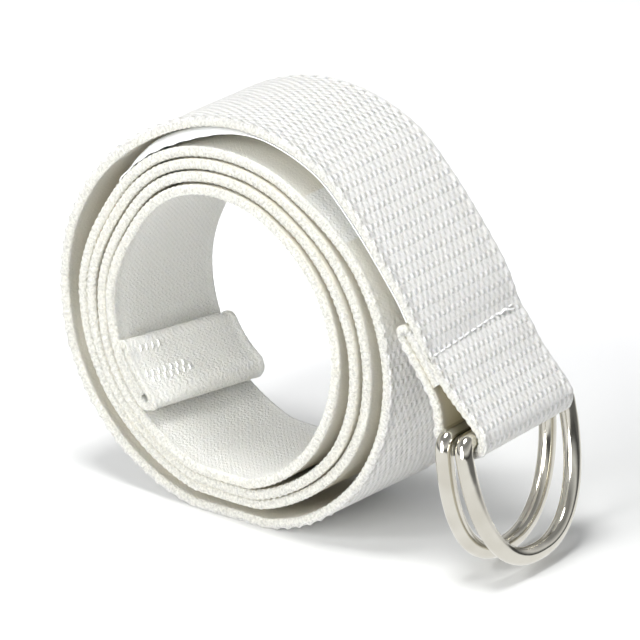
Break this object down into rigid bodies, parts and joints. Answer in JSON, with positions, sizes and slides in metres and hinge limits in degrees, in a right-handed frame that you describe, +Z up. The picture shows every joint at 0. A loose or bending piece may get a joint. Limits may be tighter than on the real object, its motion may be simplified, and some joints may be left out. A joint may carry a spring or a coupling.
{
  "type": "double ring belt",
  "caption": "White woven webbing belt rolled into an upright coil, with nickel D-rings hanging in the sewn loop at its outer end.",
  "frame": {"origin": "middle of the belt's box, on the surface that the coil stands on", "axes": "+Z up, +X from the coil's axis to the rings, Y along the coil's axis and across the webbing"},
  "size_m": [0.1298, 0.0496, 0.1],
  "materials": {
    "webbing": "plain woven, matt",
    "film": "smooth, satin",
    "nickel": "polished nickel plate"
  },
  "bodies": {
    "belt": {"strap": "webbing", "liner_strip": "film"},
    "front_ring": {"ring_front": "nickel"},
    "back_ring": {"ring_back": "nickel"}
  },
  "joints": [
    {"name": "front_ring_swing", "type": "hinge", "parent": "belt", "child": "front_ring", "pos_m": [0.05569, 0.0009, 0.0365], "axis": [0.0683, -0.9977, 0], "range_deg": [-5, 180]},
    {"name": "back_ring_swing", "type": "hinge", "parent": "belt", "child": "back_ring", "pos_m": [0.05019, 0.0009, 0.0365], "axis": [-0.0683, 0.9977, 0], "range_deg": [0, 45]}
  ]
}
